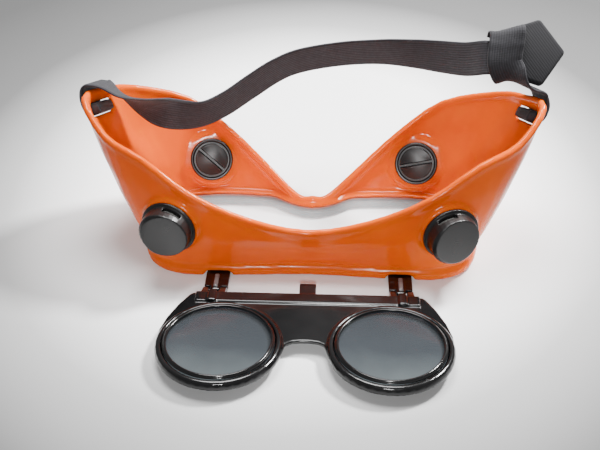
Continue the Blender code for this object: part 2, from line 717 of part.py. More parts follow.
def make_knot(look):
    """Flat pentagon that an overhand knot presses the strap into."""
    right, up, face = knot_axes()
    frame = Matrix((right, up, face)).transposed().to_4x4()
    frame.translation = Vector(strap_point(*KNOT_CENTER))
    bm = bmesh.new()
    bmesh.ops.create_cone(bm, cap_ends=True, segments=5, radius1=KNOT_RADIUS,
                          radius2=KNOT_RADIUS, depth=KNOT_THICK)
    bmesh.ops.rotate(bm, verts=bm.verts, matrix=Matrix.Rotation(radians(KNOT_TURN), 3, 'Z'))
    item = add_object('strap_knot', finish_mesh(bm, 'strap_knot'), look, frame)
    edge = item.modifiers.new('soft_edges', 'BEVEL')
    edge.width = KNOT_THICK * 0.3
    edge.segments = 2


def make_strap_band(look):
    across = np.array(slot_frame(-1).to_3x3() @ Vector((1, 0, 0)))
    ear = ear_fold(-1) + ear_over(-1)
    edge = KNOT_RADIUS * cos(radians(36)) + 3 * GAP
    tail, side_dir = knot_exit(BAND_TURN, (edge, edge + 0.0040))
    centers = ear + [strap_point(*row[:3]) for row in STRAP_ROUTE] + tail[::-1]
    widths = [across] * len(ear) + [np.array(row[3:]) for row in STRAP_ROUTE] + [side_dir] * 2
    band = ribbon_sections(smooth_path(centers, 3), smooth_path(same_sense(widths), 3),
                           STRAP_WIDTH, STRAP_THICK)
    loft('strap_band', band, False, look)


def make_strap_lead(look):
    """Doubled strap from the knot through the right ear's slot and back."""
    high = SLOT_DROP - 0.0012
    arc = [(FOLD_RADIUS * cos(radians(angle)) - WALL / 2,
            SLOT_DROP + FOLD_RADIUS * sin(radians(angle))) for angle in (25, 65, 115, 155)]
    path = [(0.0032, 0.0034), (0.0032, high)] + arc
    path += [(-0.0054, high), (-0.0052, 0.0034), (-0.0040, 0.0000), (-0.0010, -0.0013),
             (0.0022, 0.0000)]
    half = STRAP_WIDTH / 2
    sections = []
    for i, here in enumerate(path):
        run = Vector(path[(i + 1) % len(path)]) - Vector(path[i - 1])
        step = Vector((-run.y, run.x)).normalized() * STRAP_THICK / 2
        sections.append([ear_local(1, here[0] + sense * step.x, here[1] + sense * step.y, edge)
                         for sense, edge in ((-1, -half), (-1, half), (1, half), (1, -half))])
    loft('strap_lead', sections, True, look)


def knot_exit(turn_deg, reaches):
    """Points where a run leaves the knot, and its across direction there."""
    turn = radians(turn_deg)
    right, up, _ = knot_axes()
    points = [knot_place(cos(turn) * reach, sin(turn) * reach) for reach in reaches]
    return points, np.array(-sin(turn) * right + cos(turn) * up)


# ---------------------------------------------------------------- build
clear_scene()
PARTS = new_collection('welding_goggles')
CUTTERS = new_collection('cutters')
LOOKS = {
    'orange': material('orange_pvc', (0.93, 0.22, 0.02), 0.25),
    'black': material('black_plastic', (0.02, 0.02, 0.022), 0.25),
    'rubber': material('rubber', (0.03, 0.03, 0.03), 0.7),
    'dark_glass': material('shade_glass', (0.03, 0.04, 0.05), 0.05),
    'clear': material('clear_plastic', (0.9, 0.92, 0.92), 0.05),
    'steel': material('steel', (0.6, 0.6, 0.6), 0.3, 1.0),
    'foam': material('filter_foam', (0.10, 0.10, 0.10), 0.95),
    'elastic': material('elastic_strap', (0.05, 0.05, 0.055), 0.9),
}
VENTS = vent_places()
make_body(LOOKS['orange'], VENTS)
make_front_lens(LOOKS['clear'])
make_carrier(LOOKS['black'])
make_flip_frame(LOOKS['black'])
for eye_side, eye_name in ((1, 'right'), (-1, 'left')):
    make_eye(eye_side, eye_name, LOOKS)
    make_hinge_pin(eye_side, eye_name, LOOKS['steel'])
for vent_name, vent_frame, vent_inner in VENTS:
    make_vent(vent_name, vent_frame, vent_inner, LOOKS)
make_knot(LOOKS['elastic'])
make_strap_band(LOOKS['elastic'])
make_strap_lead(LOOKS['elastic'])
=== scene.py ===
from math import cos, pi, radians, sin

import bmesh
import bpy
from mathutils import Matrix, Vector


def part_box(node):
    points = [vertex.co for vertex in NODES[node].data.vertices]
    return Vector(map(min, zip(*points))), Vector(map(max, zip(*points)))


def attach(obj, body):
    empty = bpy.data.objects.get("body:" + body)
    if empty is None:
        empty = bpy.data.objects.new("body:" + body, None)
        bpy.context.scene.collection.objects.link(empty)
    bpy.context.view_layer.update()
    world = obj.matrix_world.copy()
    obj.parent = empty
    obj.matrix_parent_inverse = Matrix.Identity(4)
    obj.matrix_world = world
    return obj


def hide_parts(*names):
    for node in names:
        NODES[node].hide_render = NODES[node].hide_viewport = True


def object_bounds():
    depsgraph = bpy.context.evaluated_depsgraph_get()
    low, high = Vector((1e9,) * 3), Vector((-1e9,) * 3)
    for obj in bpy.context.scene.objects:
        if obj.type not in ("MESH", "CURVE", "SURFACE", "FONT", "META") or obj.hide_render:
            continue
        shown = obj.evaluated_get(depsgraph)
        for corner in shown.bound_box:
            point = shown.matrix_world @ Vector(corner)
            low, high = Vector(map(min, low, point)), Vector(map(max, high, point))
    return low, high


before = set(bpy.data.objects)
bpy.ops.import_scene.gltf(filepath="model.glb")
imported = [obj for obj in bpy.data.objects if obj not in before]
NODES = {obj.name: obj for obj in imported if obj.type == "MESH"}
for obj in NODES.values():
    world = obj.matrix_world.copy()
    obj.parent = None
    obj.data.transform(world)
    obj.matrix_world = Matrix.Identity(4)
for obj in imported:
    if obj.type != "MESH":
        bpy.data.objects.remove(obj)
cad_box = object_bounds()
MM = 0.001
SIDES = (("right", 1), ("left", -1))
NOISE_LOW, NOISE_HIGH = 0.3, 0.7   # where most of a noise pattern's values lie


# ---------------------------------------------------------------- node helpers
class Finish:
    """A material under construction: one Principled surface with its noise and bump."""

    def __init__(self, name, roughness, specular=0.5):
        self.material = bpy.data.materials.new(name)
        self.material.use_nodes = True
        self.tree = self.material.node_tree
        self.surface = self.tree.nodes["Principled BSDF"]
        self.surface.inputs["Roughness"].default_value = roughness
        self.surface.inputs["Specular IOR Level"].default_value = specular
        self.coords = self.add("ShaderNodeTexCoord")
        self.height = None

    def add(self, kind, **values):
        node = self.tree.nodes.new(kind)
        for key, value in values.items():
            setattr(node, key, value)
        return node

    def join(self, source, target):
        self.tree.links.new(source, target)

    def noise(self, scale, detail=3.0, roughness=0.5, stretch=(1, 1, 1)):
        placed = self.add("ShaderNodeMapping")
        placed.inputs["Scale"].default_value = stretch
        self.join(self.coords.outputs["Object"], placed.inputs["Vector"])
        node = self.add("ShaderNodeTexNoise")
        node.inputs["Scale"].default_value = scale
        node.inputs["Detail"].default_value = detail
        node.inputs["Roughness"].default_value = roughness
        self.join(placed.outputs[0], node.inputs["Vector"])
        return node.outputs["Fac"]

    def ramp(self, source, stops):
        node = self.add("ShaderNodeValToRGB")
        elements = node.color_ramp.elements
        while len(elements) < len(stops):
            elements.new(0.5)
        for element, (place, color) in zip(elements, stops):
            element.position = place
            element.color = (*color, 1.0)
        self.join(source, node.inputs["Fac"])
        return node.outputs["Color"]

    def span(self, source, low, high):
        node = self.add("ShaderNodeMapRange")
        node.inputs["From Min"].default_value = NOISE_LOW
        node.inputs["From Max"].default_value = NOISE_HIGH
        node.inputs["To Min"].default_value = low
        node.inputs["To Max"].default_value = high
        self.join(source, node.inputs["Value"])
        return node.outputs["Result"]

    def color(self, source, stops):
        self.join(self.ramp(source, stops), self.surface.inputs["Base Color"])

    def rough(self, source, low, high):
        self.join(self.span(source, low, high), self.surface.inputs["Roughness"])

    def bump(self, source, distance, strength=1.0):
        node = self.add("ShaderNodeBump")
        node.inputs["Distance"].default_value = distance
        node.inputs["Strength"].default_value = strength
        self.join(source, node.inputs["Height"])
        if self.height is not None:
            self.join(self.height, node.inputs["Normal"])
        self.height = node.outputs["Normal"]
        self.join(self.height, self.surface.inputs["Normal"])


# ---------------------------------------------------------------- finishes
def soft_vinyl():
    """Glossy orange vinyl that lets some light through its thin walls."""
    it = Finish("orange_vinyl", 0.2, 0.16)
    it.color(it.noise(28, 4), [(0.35, (0.58, 0.078, 0.0)), (0.65, (0.68, 0.100, 0.0))])
    it.rough(it.noise(60, 3), 0.10, 0.20)
    it.surface.inputs["Subsurface Weight"].default_value = 0.25
    it.surface.inputs["Subsurface Radius"].default_value = (1.0, 0.15, 0.01)
    it.surface.inputs["Subsurface Scale"].default_value = 0.005
    it.bump(it.noise(55, 2), 0.0009, 0.30)
    it.bump(it.noise(900, 2), 0.00003, 0.30)
    return it.material


def moulded_black():
    """Glossy black plastic with moulding flow and fine handling marks."""
    it = Finish("moulded_black", 0.2, 0.42)
    it.color(it.noise(45, 4), [(0.3, (0.003, 0.003, 0.0032)), (0.7, (0.006, 0.0058, 0.006))])
    it.rough(it.noise(60, 3), 0.11, 0.20)
    it.bump(it.noise(300, 2), 0.00003, 0.25)
    it.bump(it.noise(40, 2), 0.0003, 0.20)
    return it.material


def vent_black():
    """Satin black of the vent caps, a little greyer in soft patches."""
    it = Finish("vent_black", 0.3, 0.35)
    it.color(it.noise(50, 3), [(0.3, (0.005, 0.0048, 0.005)), (0.72, (0.010, 0.0096, 0.0098))])
    it.rough(it.noise(80, 3), 0.26, 0.38)
    it.bump(it.noise(500, 2), 0.00003, 0.3)
    return it.material


LENS_TOP = -0.039      # how far forward the painted reflection on the lenses starts
LENS_FOOT = -0.084     # and where it is brightest


def filter_glass():
    """Dark blue-grey shade glass, painted lighter toward its lower side as a painted reflection,
    with a cloudy tone at random.
    """
    it = Finish("filter_glass", 0.1, 0.25)
    split = it.add("ShaderNodeSeparateXYZ")
    it.join(it.coords.outputs["Object"], split.inputs[0])
    # Painted reflection: the lower side of the lens gets a lighter colour; the cloud adds tone at
    # random.
    painted_reflection = it.add("ShaderNodeMapRange")
    painted_reflection.inputs["From Min"].default_value = LENS_TOP
    painted_reflection.inputs["From Max"].default_value = LENS_FOOT
    it.join(split.outputs["Y"], painted_reflection.inputs["Value"])
    cloud = scaled(it, it.noise(45, 2), 0.30)
    mixed = it.add("ShaderNodeMath", operation="ADD")
    it.join(scaled(it, painted_reflection.outputs["Result"], 0.80), mixed.inputs[0])
    it.join(cloud, mixed.inputs[1])
    it.color(mixed.outputs[0], [(0.12, (0.004, 0.005, 0.008)), (0.60, (0.010, 0.013, 0.017)),
                                (0.98, (0.050, 0.060, 0.063))])
    it.rough(it.noise(70, 3), 0.06, 0.13)
    it.bump(it.noise(14, 1), 0.0003, 0.2)
    return it.material


def clear_sheet(name, alpha):
    """Clear cover sheet with a faint haze of fine scratches."""
    it = Finish(name, 0.05, 0.3)
    it.color(it.noise(60, 4), [(0.3, (0.70, 0.76, 0.78)), (0.7, (0.86, 0.90, 0.91))])
    it.rough(it.noise(240, 5, 0.7, (1, 5, 1)), 0.04, 0.12)
    it.surface.inputs["Alpha"].default_value = alpha
    it.bump(it.noise(300, 3, 0.6, (1, 7, 1)), 0.00002, 0.3)
    return it.material


def rib_painted_highlight():
    """Glossy edge of the hinge tabs, coloured grey as a painted highlight."""
    it = Finish("rib_painted_highlight", 0.2, 0.6)
    # Painted highlight: grey colour where the black tab's knuckle catches the light.
    it.color(it.noise(120, 3), [(0.3, (0.09, 0.085, 0.085)), (0.7, (0.17, 0.16, 0.16))])
    it.rough(it.noise(200, 3), 0.15, 0.30)
    it.bump(it.noise(300, 2), 0.00003, 0.3)
    return it.material


def dull_rubber():
    """Matt black gasket rubber."""
    it = Finish("dull_rubber", 0.7, 0.3)
    it.color(it.noise(90, 4), [(0.3, (0.018, 0.018, 0.018)), (0.7, (0.034, 0.033, 0.032))])
    it.rough(it.noise(150, 3), 0.60, 0.80)
    it.bump(it.noise(1400, 3), 0.00005, 0.6)
    return it.material


def pin_steel():
    """Drawn steel with marks running along the pin."""
    it = Finish("pin_steel", 0.3)
    it.surface.inputs["Metallic"].default_value = 1.0
    it.color(it.noise(200, 4), [(0.3, (0.38, 0.37, 0.36)), (0.7, (0.56, 0.55, 0.53))])
    it.rough(it.noise(500, 4, 0.6, (8, 1, 1)), 0.24, 0.42)
    it.bump(it.noise(900, 2, 0.5, (10, 1, 1)), 0.00002, 0.5)
    return it.material


FOAM_CELLS = 1300


def filter_foam():
    """Dark open foam behind the vents."""
    it = Finish("open_foam", 0.95, 0.2)
    cells = it.add("ShaderNodeTexVoronoi")
    cells.inputs["Scale"].default_value = FOAM_CELLS
    it.join(it.coords.outputs["Object"], cells.inputs["Vector"])
    it.color(cells.outputs["Distance"], [(0.1, (0.012, 0.012, 0.012)), (0.6, (0.09, 0.09, 0.085))])
    it.bump(cells.outputs["Distance"], 0.0004, 0.8)
    return it.material


RIB_PITCH = 0.00118    # between the cords of the elastic
WEFT_PITCH = 0.00075
RIB_SHADE = 0.22       # how much the cords and the lint change its colour
LINT_SHADE = 0.75


def woven_elastic(name, depth):
    """Charcoal ribbed elastic: cords lengthwise, fine weft across, some lint; depth darkens its
    colours as painted shade.
    """
    it = Finish(name, 0.85, 0.2)
    split = it.add("ShaderNodeSeparateXYZ")
    it.join(it.coords.outputs["UV"], split.inputs[0])
    ribs = wave_on(it, split.outputs["Y"], RIB_PITCH)
    weft = wave_on(it, split.outputs["X"], WEFT_PITCH)
    lint = it.noise(420, 5, 0.7)
    both = it.add("ShaderNodeMath", operation="MULTIPLY_ADD")
    it.join(ribs, both.inputs[0])
    both.inputs[1].default_value = RIB_SHADE
    it.join(scaled(it, lint, LINT_SHADE), both.inputs[2])
    # Painted shade: depth scales these colours down, for the shaded copies on the knot.
    shades = [(0.012, 0.0115, 0.013), (0.027, 0.0262, 0.030), (0.055, 0.054, 0.060)]
    places = (0.2, 0.5, 0.9)
    it.color(both.outputs[0], [(place, tuple(depth * part for part in shade))
                               for place, shade in zip(places, shades)])
    it.rough(lint, 0.75, 0.95)
    it.surface.inputs["Sheen Weight"].default_value = 0.10 * depth
    it.bump(ribs, 0.00010, 0.45)
    it.bump(weft, 0.00006, 0.5)
    it.bump(lint, 0.00008, 0.3)
    return it.material


def wave_on(it, source, pitch):
    """A smooth 0 to 1 ridge that repeats every pitch metres of source."""
    turn = it.add("ShaderNodeMath", operation="MULTIPLY")
    it.join(source, turn.inputs[0])
    turn.inputs[1].default_value = 2 * pi / pitch
    wave = it.add("ShaderNodeMath", operation="SINE")
    it.join(turn.outputs[0], wave.inputs[0])
    lift = it.add("ShaderNodeMath", operation="MULTIPLY_ADD")
    it.join(wave.outputs[0], lift.inputs[0])
    lift.inputs[1].default_value = 0.5
    lift.inputs[2].default_value = 0.5
    return lift.outputs[0]


def scaled(it, source, factor):
    node = it.add("ShaderNodeMath", operation="MULTIPLY")
    it.join(source, node.inputs[0])
    node.inputs[1].default_value = factor
    return node.outputs[0]


FLOOR_SIZE = 3.0
PAINTED_POOL_CENTRE = (-0.005, 0.100)      # middle of the painted pool of light on the floor
PAINTED_POOL_REACH = (0.165, 0.211)        # its half width and half depth


def floor_painted_light_pool():
    """White floor with a painted pool of light: painted shade greys it away from the middle."""
    it = Finish("floor_painted_light_pool", 0.7, 0.2)
    placed = it.add("ShaderNodeMapping")
    placed.inputs["Location"].default_value = (-PAINTED_POOL_CENTRE[0] / PAINTED_POOL_REACH[0],
                                               -PAINTED_POOL_CENTRE[1] / PAINTED_POOL_REACH[1], 0)
    placed.inputs["Scale"].default_value = (1 / PAINTED_POOL_REACH[0], 1 / PAINTED_POOL_REACH[1], 0)
    it.join(it.coords.outputs["Object"], placed.inputs["Vector"])
    reach = it.add("ShaderNodeVectorMath", operation="LENGTH")
    it.join(placed.outputs[0], reach.inputs[0])
    painted_pool_shade = it.add("ShaderNodeMath", operation="ADD")
    it.join(scaled(it, reach.outputs["Value"], 0.5), painted_pool_shade.inputs[0])
    it.join(scaled(it, it.noise(5, 2), 0.03), painted_pool_shade.inputs[1])
    # Painted light and shade: bright in the middle of the pool, painted darker grey outward.
    stops = [(0.34, 0.97), (0.44, 0.62), (0.515, 0.34), (0.64, 0.13), (0.90, 0.09)]
    it.color(painted_pool_shade.outputs[0], [(place, (grey, grey, grey)) for place, grey in stops])
    it.bump(it.noise(300, 3), 0.0001, 0.1)
    return it.material


# ---------------------------------------------------------------- carried-over CAD nodes
BODY_VOXEL = 0.00095
BODY_ROUNDS = 10
HARD_VOXELS = (("lens_carrier", 0.00050), ("flip_frame", 0.00042))
HARD_ROUNDS = 6
CAP_VOXEL = 0.00032
CAP_ROUNDS = 4
EASE_SHARE = 0.5


def wear(node, material):
    """Give a carried-over node its finish."""
    slots = NODES[node].material_slots
    if not slots:
        NODES[node].data.materials.append(material)
    for slot in slots:
        slot.material = material


def soften(node, voxel, rounds):
    """Round off a moulded node's edges and facets."""
    skin = NODES[node].modifiers.new("moulded_skin", "REMESH")
    skin.mode = "VOXEL"
    skin.voxel_size = voxel
    skin.use_smooth_shade = True
    ease = NODES[node].modifiers.new("eased_edges", "SMOOTH")
    ease.factor = EASE_SHARE
    ease.iterations = rounds


def dress_frame(looks):
    """Finish every node that is carried over."""
    wear("goggle_body", looks["vinyl"])
    soften("goggle_body", BODY_VOXEL, BODY_ROUNDS)
    wear("front_lens", looks["front"])
    for node, voxel in HARD_VOXELS:
        wear(node, looks["black"])
        soften(node, voxel, HARD_ROUNDS)
    for side, _ in SIDES:
        wear("eye_gasket_" + side, looks["rubber"])
        wear("shade_lens_" + side, looks["shade"])
        wear("cover_lens_" + side, looks["cover"])
        wear("hinge_pin_" + side, looks["steel"])
        for place in ("brow", "cheek"):
            name = place + "_vent_" + side
            wear(name + "_filter", looks["foam"])
            wear(name + "_cap", looks["vent"])
            soften(name + "_cap", CAP_VOXEL, CAP_ROUNDS)


# ---------------------------------------------------------------- new piece helpers
def finished(bm, name, material, body, replaced):
    """Turn a bmesh into a piece that rides on a body and takes the place of CAD nodes."""
    bmesh.ops.recalc_face_normals(bm, faces=bm.faces)
    mesh = bpy.data.meshes.new(name)
    bm.to_mesh(mesh)
    bm.free()
    mesh.shade_smooth()
    item = bpy.data.objects.new(name, mesh)
    bpy.context.scene.collection.objects.link(item)
    mesh.materials.append(material)
    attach(item, body)
    if replaced:
        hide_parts(*replaced)
    return item


def spun(profile, place, steps=96):
    """Turn a closed profile of (radius, height) about Z and move it into place."""
    bm = bmesh.new()
    ring = [bm.verts.new((radius, 0, height)) for radius, height in profile]
    edges = [bm.edges.new((ring[i - 1], ring[i])) for i in range(len(ring))]
    bmesh.ops.spin(bm, geom=ring + edges, cent=(0, 0, 0), axis=(0, 0, 1), angle=2 * pi,
                   steps=steps, use_merge=True)
    bmesh.ops.remove_doubles(bm, verts=bm.verts, dist=1e-6)
    bmesh.ops.transform(bm, matrix=place, verts=bm.verts)
    return bm


def round_corner(center, radius, start, end, steps=6):
    """Points on an arc, angles in degrees."""
    out = []
    for k in range(steps + 1):
        angle = radians(start + (end - start) * k / steps)
        out.append((center[0] + radius * cos(angle), center[1] + radius * sin(angle)))
    return out


RING_WALL = 0.0018
RING_LIP = 0.00055


def retaining_lip(side, looks):
    """The screw-in ring round a lens: a rounded inner lip and a sunk outer shoulder."""
    low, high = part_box("retaining_ring_" + side)
    middle = (low + high) / 2
    outer = (high.x - low.x) / 2
    top = high.z - low.z
    inner = outer - RING_WALL
    profile = [(inner, 0.0002)]
    profile += round_corner((inner + RING_LIP, top - RING_LIP), RING_LIP, 180, 20)
    profile += [(outer - 0.00050, top - 0.00062), (outer - 0.00015, top - 0.00070),
                (outer, top - 0.00095), (outer, 0.0), (inner + 0.0002, 0.0)]
    bm = spun(profile, Matrix.Translation((middle.x, middle.y, low.z)))
    return finished(bm, "retaining_lip_" + side, looks["black"], "ring_" + side,
                    ["retaining_ring_" + side])


PLUG_RADIUS = 0.0113
PLUG_DISC = 0.0086
PLUG_RIM = 0.0014          # height of the flange before its rounded edge
PLUG_ROUND = 0.0008
PLUG_FLOOR = 0.0012        # height of the groove inside the flange
DISC_FOOT = 0.0010
DISC_RISE = 0.0017
DISC_BEVEL = 0.0005
PLUG_SHARP = 32            # edges steeper than this many degrees stay crisp
SLOT_HALF = 0.00055
# Vent frames by place: direction rows, centre and how deep the inner wall lies.
VENTS = {
    "brow": (((0.9155, -0.2944, 0.2741), (0.2493, -0.1194, -0.9610), (0.3156, 0.9482, -0.0359)),
             (0.0656, -0.0036, 0.0296), 0.0053),
    "cheek": (((-0.9777, -0.1674, 0.1269), (0.0402, 0.4438, 0.8952), (-0.2062, 0.8804, -0.4271)),
              (0.0554, 0.0746, 0.0205), 0.0047),
}
PLUG_TURN = {"brow_right": 0.0, "brow_left": 0.0, "cheek_right": -1.4, "cheek_left": 30.7}


def vent_place(place, sign, turn):
    """Where a plug sits: on the inner wall, facing inward."""
    rows, middle, depth = VENTS[place]
    spot = Matrix(rows).to_4x4()
    if sign < 0:
        flip = Matrix.Diagonal((-1, 1, 1, 1))
        spot = flip @ spot @ flip
    spot.translation = Vector((sign * middle[0], middle[1], middle[2]))
    return (spot @ Matrix.Translation((0, 0, -depth)) @ Matrix.Rotation(radians(turn), 4, "Z")
            @ Matrix.Rotation(pi, 4, "X"))


def plug_half(bm, sign):
    """One half of the raised disc beside the screwdriver slot."""
    part = bmesh.new()
    bmesh.ops.create_circle(part, cap_ends=True, radius=PLUG_DISC, segments=72)
    bmesh.ops.bisect_plane(part, geom=part.verts[:] + part.edges[:] + part.faces[:],
                           plane_co=(0, sign * SLOT_HALF, 0), plane_no=(0, sign, 0),
                           clear_inner=True)
    grown = bmesh.ops.extrude_face_region(part, geom=part.faces[:])["geom"]
    top = [item for item in grown if isinstance(item, bmesh.types.BMVert)]
    bmesh.ops.translate(part, verts=top, vec=(0, 0, DISC_RISE))
    rim = [edge for edge in part.edges if all(vert.co.z > DISC_RISE / 2 for vert in edge.verts)]
    bmesh.ops.bevel(part, geom=rim, offset=DISC_BEVEL, segments=3, profile=0.5, affect="EDGES",
                    material=-1)
    bmesh.ops.translate(part, verts=part.verts, vec=(0, 0, DISC_FOOT))
    mesh = bpy.data.meshes.new("half")
    part.to_mesh(mesh)
    part.free()
    bm.from_mesh(mesh)
    bpy.data.meshes.remove(mesh)


def vent_plug(place, side, sign, looks):
    """Screw-in plug: a rounded flange, a groove and a slotted raised disc."""
    bm = bmesh.new()
    profile = [(0.0, 0.0), (PLUG_RADIUS, 0.0)]
    profile += round_corner((PLUG_RADIUS - PLUG_ROUND, PLUG_RIM), PLUG_ROUND, 0, 90)
    profile += [(0.0100, 0.0021), (0.0094, PLUG_FLOOR), (0.0, PLUG_FLOOR)]
    ring = spun(profile, Matrix.Identity(4), 80)
    mesh = bpy.data.meshes.new("flange")
    ring.to_mesh(mesh)
    ring.free()
    bm.from_mesh(mesh)
    bpy.data.meshes.remove(mesh)
    for half in (1, -1):
        plug_half(bm, half)
    turn = PLUG_TURN[place + "_" + side]
    bmesh.ops.transform(bm, matrix=vent_place(place, sign, turn), verts=bm.verts)
    name = place + "_vent_" + side + "_plug"
    item = finished(bm, "screw_plug_" + place + "_" + side, looks["vent"], "goggles", [name])
    item.data.set_sharp_from_angle(angle=radians(PLUG_SHARP))


HINGE_RIB = (0.0022, 0.0098, 0.0020)   # width, length and height
RIB_BEVEL = 0.0007
RIB_BACK = 0.0052                       # from the pin to the middle of the rib
RIB_LEVEL = 0.0034


def hinge_rib(side, looks):
    """The stiffening rib along a hinge tab, made bright by a painted highlight."""
    low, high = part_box("hinge_pin_" + side)
    middle = (low + high) / 2
    bm = bmesh.new()
    bmesh.ops.create_cube(bm, size=1.0)
    bmesh.ops.scale(bm, verts=bm.verts, vec=HINGE_RIB)
    bmesh.ops.bevel(bm, geom=bm.edges[:], offset=RIB_BEVEL, segments=4, profile=0.5,
                    affect="EDGES", material=-1)
    bmesh.ops.translate(bm, verts=bm.verts, vec=(middle.x, middle.y + RIB_BACK, RIB_LEVEL))
    return finished(bm, "hinge_rib_" + side, looks["rib"], "goggles", [])


# ---------------------------------------------------------------- strap
STRAP_WIDTH = 0.0165
RIB_RISE = 0.00005
EDGE_ROUND = 0.0009
SPAN_STEPS = 7             # sections between two places of a route
# The long run, from inside the left ear over its rim to the knot: place, then the
# direction across the strap, then its thickness, which fills the slot in the ear.
EAR_TO_KNOT = [
    (-101.9, 43.5, 67.8, -0.27, -0.92, 0.28, 4.6),
    (-105.0, 43.7, 66.4, -0.27, -0.92, 0.28, 5.8),
    (-108.0, 44.6, 65.9, -0.27, -0.92, 0.28, 3.4),
    (-109.9, 45.9, 68.1, -0.27, -0.92, 0.28, 2.2),
    (-110.7, 47.1, 71.4, -0.27, -0.92, 0.28, 1.8),
    (-110.3, 48.0, 74.8, -0.27, -0.92, 0.28, 1.6),
    (-108.7, 48.1, 76.9, -0.27, -0.92, 0.28, 1.4),
    (-106.0, 47.6, 77.6, -0.27, -0.92, 0.28, 1.4),
    (-100.4, 46.9, 76.6, -0.26, -0.90, 0.34, 1.4),
    (-92.4, 49.7, 69.4, -0.10, -0.78, 0.62, 1.4),
    (-82.3, 54.8, 61.2, -0.10, -0.45, 0.89, 1.4),
    (-72.6, 60.8, 54.5, -0.05, 0.00, 1.00, 1.4),
    (-59.4, 68.7, 50.3, 0.00, -0.20, 0.98, 1.4),
    (-47.1, 76.7, 52.6, 0.00, -0.20, 0.98, 1.4),
    (-34.3, 84.7, 58.7, 0.00, -0.20, 0.98, 1.4),
    (-21.3, 90.8, 65.4, 0.00, -0.25, 0.97, 1.4),
    (-8.4, 95.7, 69.2, 0.00, -0.28, 0.96, 1.4),
    (12.9, 98.7, 72.2, 0.00, -0.30, 0.95, 1.4),
    (33.9, 95.7, 75.1, 0.00, -0.30, 0.95, 1.4),
    (51.5, 86.7, 78.3, 0.00, -0.15, 0.99, 1.4),
    (64.7, 74.7, 82.3, 0.00, 0.10, 0.99, 1.4),
    (74.5, 62.5, 86.9, -0.05, 0.35, 0.93, 1.4),
    (82.9, 52.6, 92.4, -0.03, 0.63, 0.77, 1.4),
    (92.0, 54.2, 91.0, -0.03, 0.63, 0.77, 1.4),
]
# The outer turn of the knot and the run down outside the right ear and in at its slot.
KNOT_TO_EAR = [
    (90.6, 58.0, 99.6, 0.97, 0.12, 0.20, 1.4),
    (91.6, 57.4, 104.0, 0.97, 0.12, 0.24, 1.4),
    (91.6, 52.6, 106.2, 0.97, 0.12, 0.24, 1.4),
    (91.0, 48.6, 102.6, 0.97, 0.12, 0.16, 1.4),
    (90.4, 46.0, 98.4, 0.99, 0.10, 0.06, 1.4),
    (90.4, 43.6, 93.6, 0.99, 0.10, -0.04, 1.4),
    (93.0, 42.6, 88.6, 0.95, -0.05, -0.22, 1.4),
    (97.4, 43.4, 84.6, 0.84, -0.42, -0.20, 1.4),
    (101.8, 45.2, 81.6, 0.62, -0.74, -0.02, 1.4),
    (105.8, 47.0, 79.4, 0.40, -0.88, 0.18, 1.5),
    (109.4, 48.2, 76.4, 0.27, -0.92, 0.28, 1.6),
    (110.8, 47.2, 71.8, 0.27, -0.92, 0.28, 2.0),
    (109.9, 45.9, 68.1, 0.27, -0.92, 0.28, 2.6),
    (108.0, 44.6, 65.9, 0.27, -0.92, 0.28, 3.4),
    (105.0, 43.7, 66.4, 0.27, -0.92, 0.28, 5.8),
    (101.9, 43.5, 67.8, 0.27, -0.92, 0.28, 4.6),
]


def eased(rows, per_span):
    """Catmull-Rom through rows of any length."""
    rows = [Vector(row) for row in rows]
    rows = [2 * rows[0] - rows[1]] + rows + [2 * rows[-1] - rows[-2]]
    out = []
    for a, b, c, d in zip(rows, rows[1:], rows[2:], rows[3:]):
        for k in range(per_span):
            t = k / per_span
            out.append(0.5 * (2 * b + (c - a) * t + (2 * a - 5 * b + 4 * c - d) * t ** 2
                              + (3 * b - a - 3 * c + d) * t ** 3))
    out.append(rows[-2])
    return out


def strap_profile(thick, columns=40):
    """Ribbed cross-section as (across, face) pairs, upper side then lower side."""
    side = []
    for k in range(columns + 1):
        x = (-0.5 + k / columns) * STRAP_WIDTH
        edge = min(1.0, (STRAP_WIDTH / 2 - abs(x)) / EDGE_ROUND)
        rib = RIB_RISE * cos(2 * pi * x / RIB_PITCH)
        side.append((x, (thick / 2) * (0.45 + 0.55 * edge ** 0.5) + rib * edge))
    return side + [(x, -height) for x, height in reversed(side)]


def strap_run(name, table, replaced, looks):
    """A ribbed strap along a route, with a UV map in metres."""
    route = eased([[value * MM for value in row[:3]] for row in table], SPAN_STEPS)
    widths = eased([row[3:6] for row in table], SPAN_STEPS)
    thicks = eased([(row[6] * MM, 0.0) for row in table], SPAN_STEPS)
    bm = bmesh.new()
    lengths, total = [], 0.0
    rings = []
    for i, (place, across, thick) in enumerate(zip(route, widths, thicks)):
        ahead = route[min(i + 1, len(route) - 1)]
        behind = route[max(i - 1, 0)]
        run = (ahead - behind).normalized()
        across = (across - across.dot(run) * run).normalized()
        face = across.cross(run)
        profile = strap_profile(thick[0])
        rings.append([bm.verts.new(place + across * x + face * h) for x, h in profile])
        total += (place - behind).length if i else 0.0
        lengths.append(total)
    uv = bm.loops.layers.uv.new("along")
    count = len(profile)
    for i in range(len(rings) - 1):
        for j in range(count):
            k = (j + 1) % count
            face = bm.faces.new((rings[i][j], rings[i][k], rings[i + 1][k], rings[i + 1][j]))
            spots = ((i, j), (i, k), (i + 1, k), (i + 1, j))
            for loop, (row, column) in zip(face.loops, spots):
                loop[uv].uv = (lengths[row], profile[column][0] + RIB_PITCH / 4)
    bm.faces.new(rings[0])
    bm.faces.new(rings[-1])
    return finished(bm, name, looks["elastic_" + name], "goggles", replaced)


